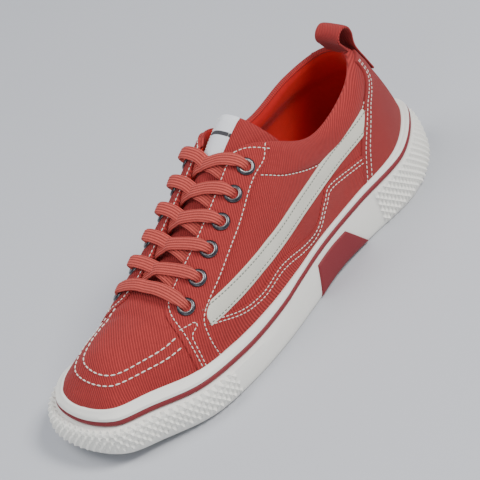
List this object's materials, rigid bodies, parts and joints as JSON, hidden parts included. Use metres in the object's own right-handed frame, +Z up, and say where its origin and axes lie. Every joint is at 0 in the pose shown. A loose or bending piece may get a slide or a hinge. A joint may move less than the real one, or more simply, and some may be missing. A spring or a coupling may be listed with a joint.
{
  "type": "low canvas sneaker",
  "caption": "Low left canvas sneaker with cup sole, tongue, flat lace in rolled eyelets and a heel pull loop.",
  "frame": {"origin": "on the floor, under the middle of the sole's outline", "axes": "+X to the toe, +Y to the outer side of the left foot, +Z up"},
  "size_m": [0.29, 0.0992, 0.1025],
  "materials": {
    "canvas": "ribbed cotton twill",
    "lining": "smooth woven lining",
    "rubber": "matte off-white rubber",
    "rubber_red": "matte dark red rubber",
    "leather": "smooth cream leather",
    "lace": "flat braid",
    "thread": "off-white sewing thread",
    "label": "white woven label",
    "eyelet": "gunmetal plating"
  },
  "bodies": {
    "root": {"sole": "rubber", "upper": "canvas", "tongue": "canvas", "insole": "lining", "pull_loop": "canvas", "lace_bar": "lace", "lace_cross_1": "lace", "lace_cross_2": "lace", "lace_cross_3": "lace", "lace_cross_4": "lace", "lace_cross_5": "lace", "eyelet_lateral_1": "eyelet", "eyelet_lateral_2": "eyelet", "eyelet_lateral_3": "eyelet", "eyelet_lateral_4": "eyelet", "eyelet_lateral_5": "eyelet", "eyelet_lateral_6": "eyelet", "eyelet_medial_1": "eyelet", "eyelet_medial_2": "eyelet", "eyelet_medial_3": "eyelet", "eyelet_medial_4": "eyelet", "eyelet_medial_5": "eyelet", "eyelet_medial_6": "eyelet"}
  },
  "joints": []
}
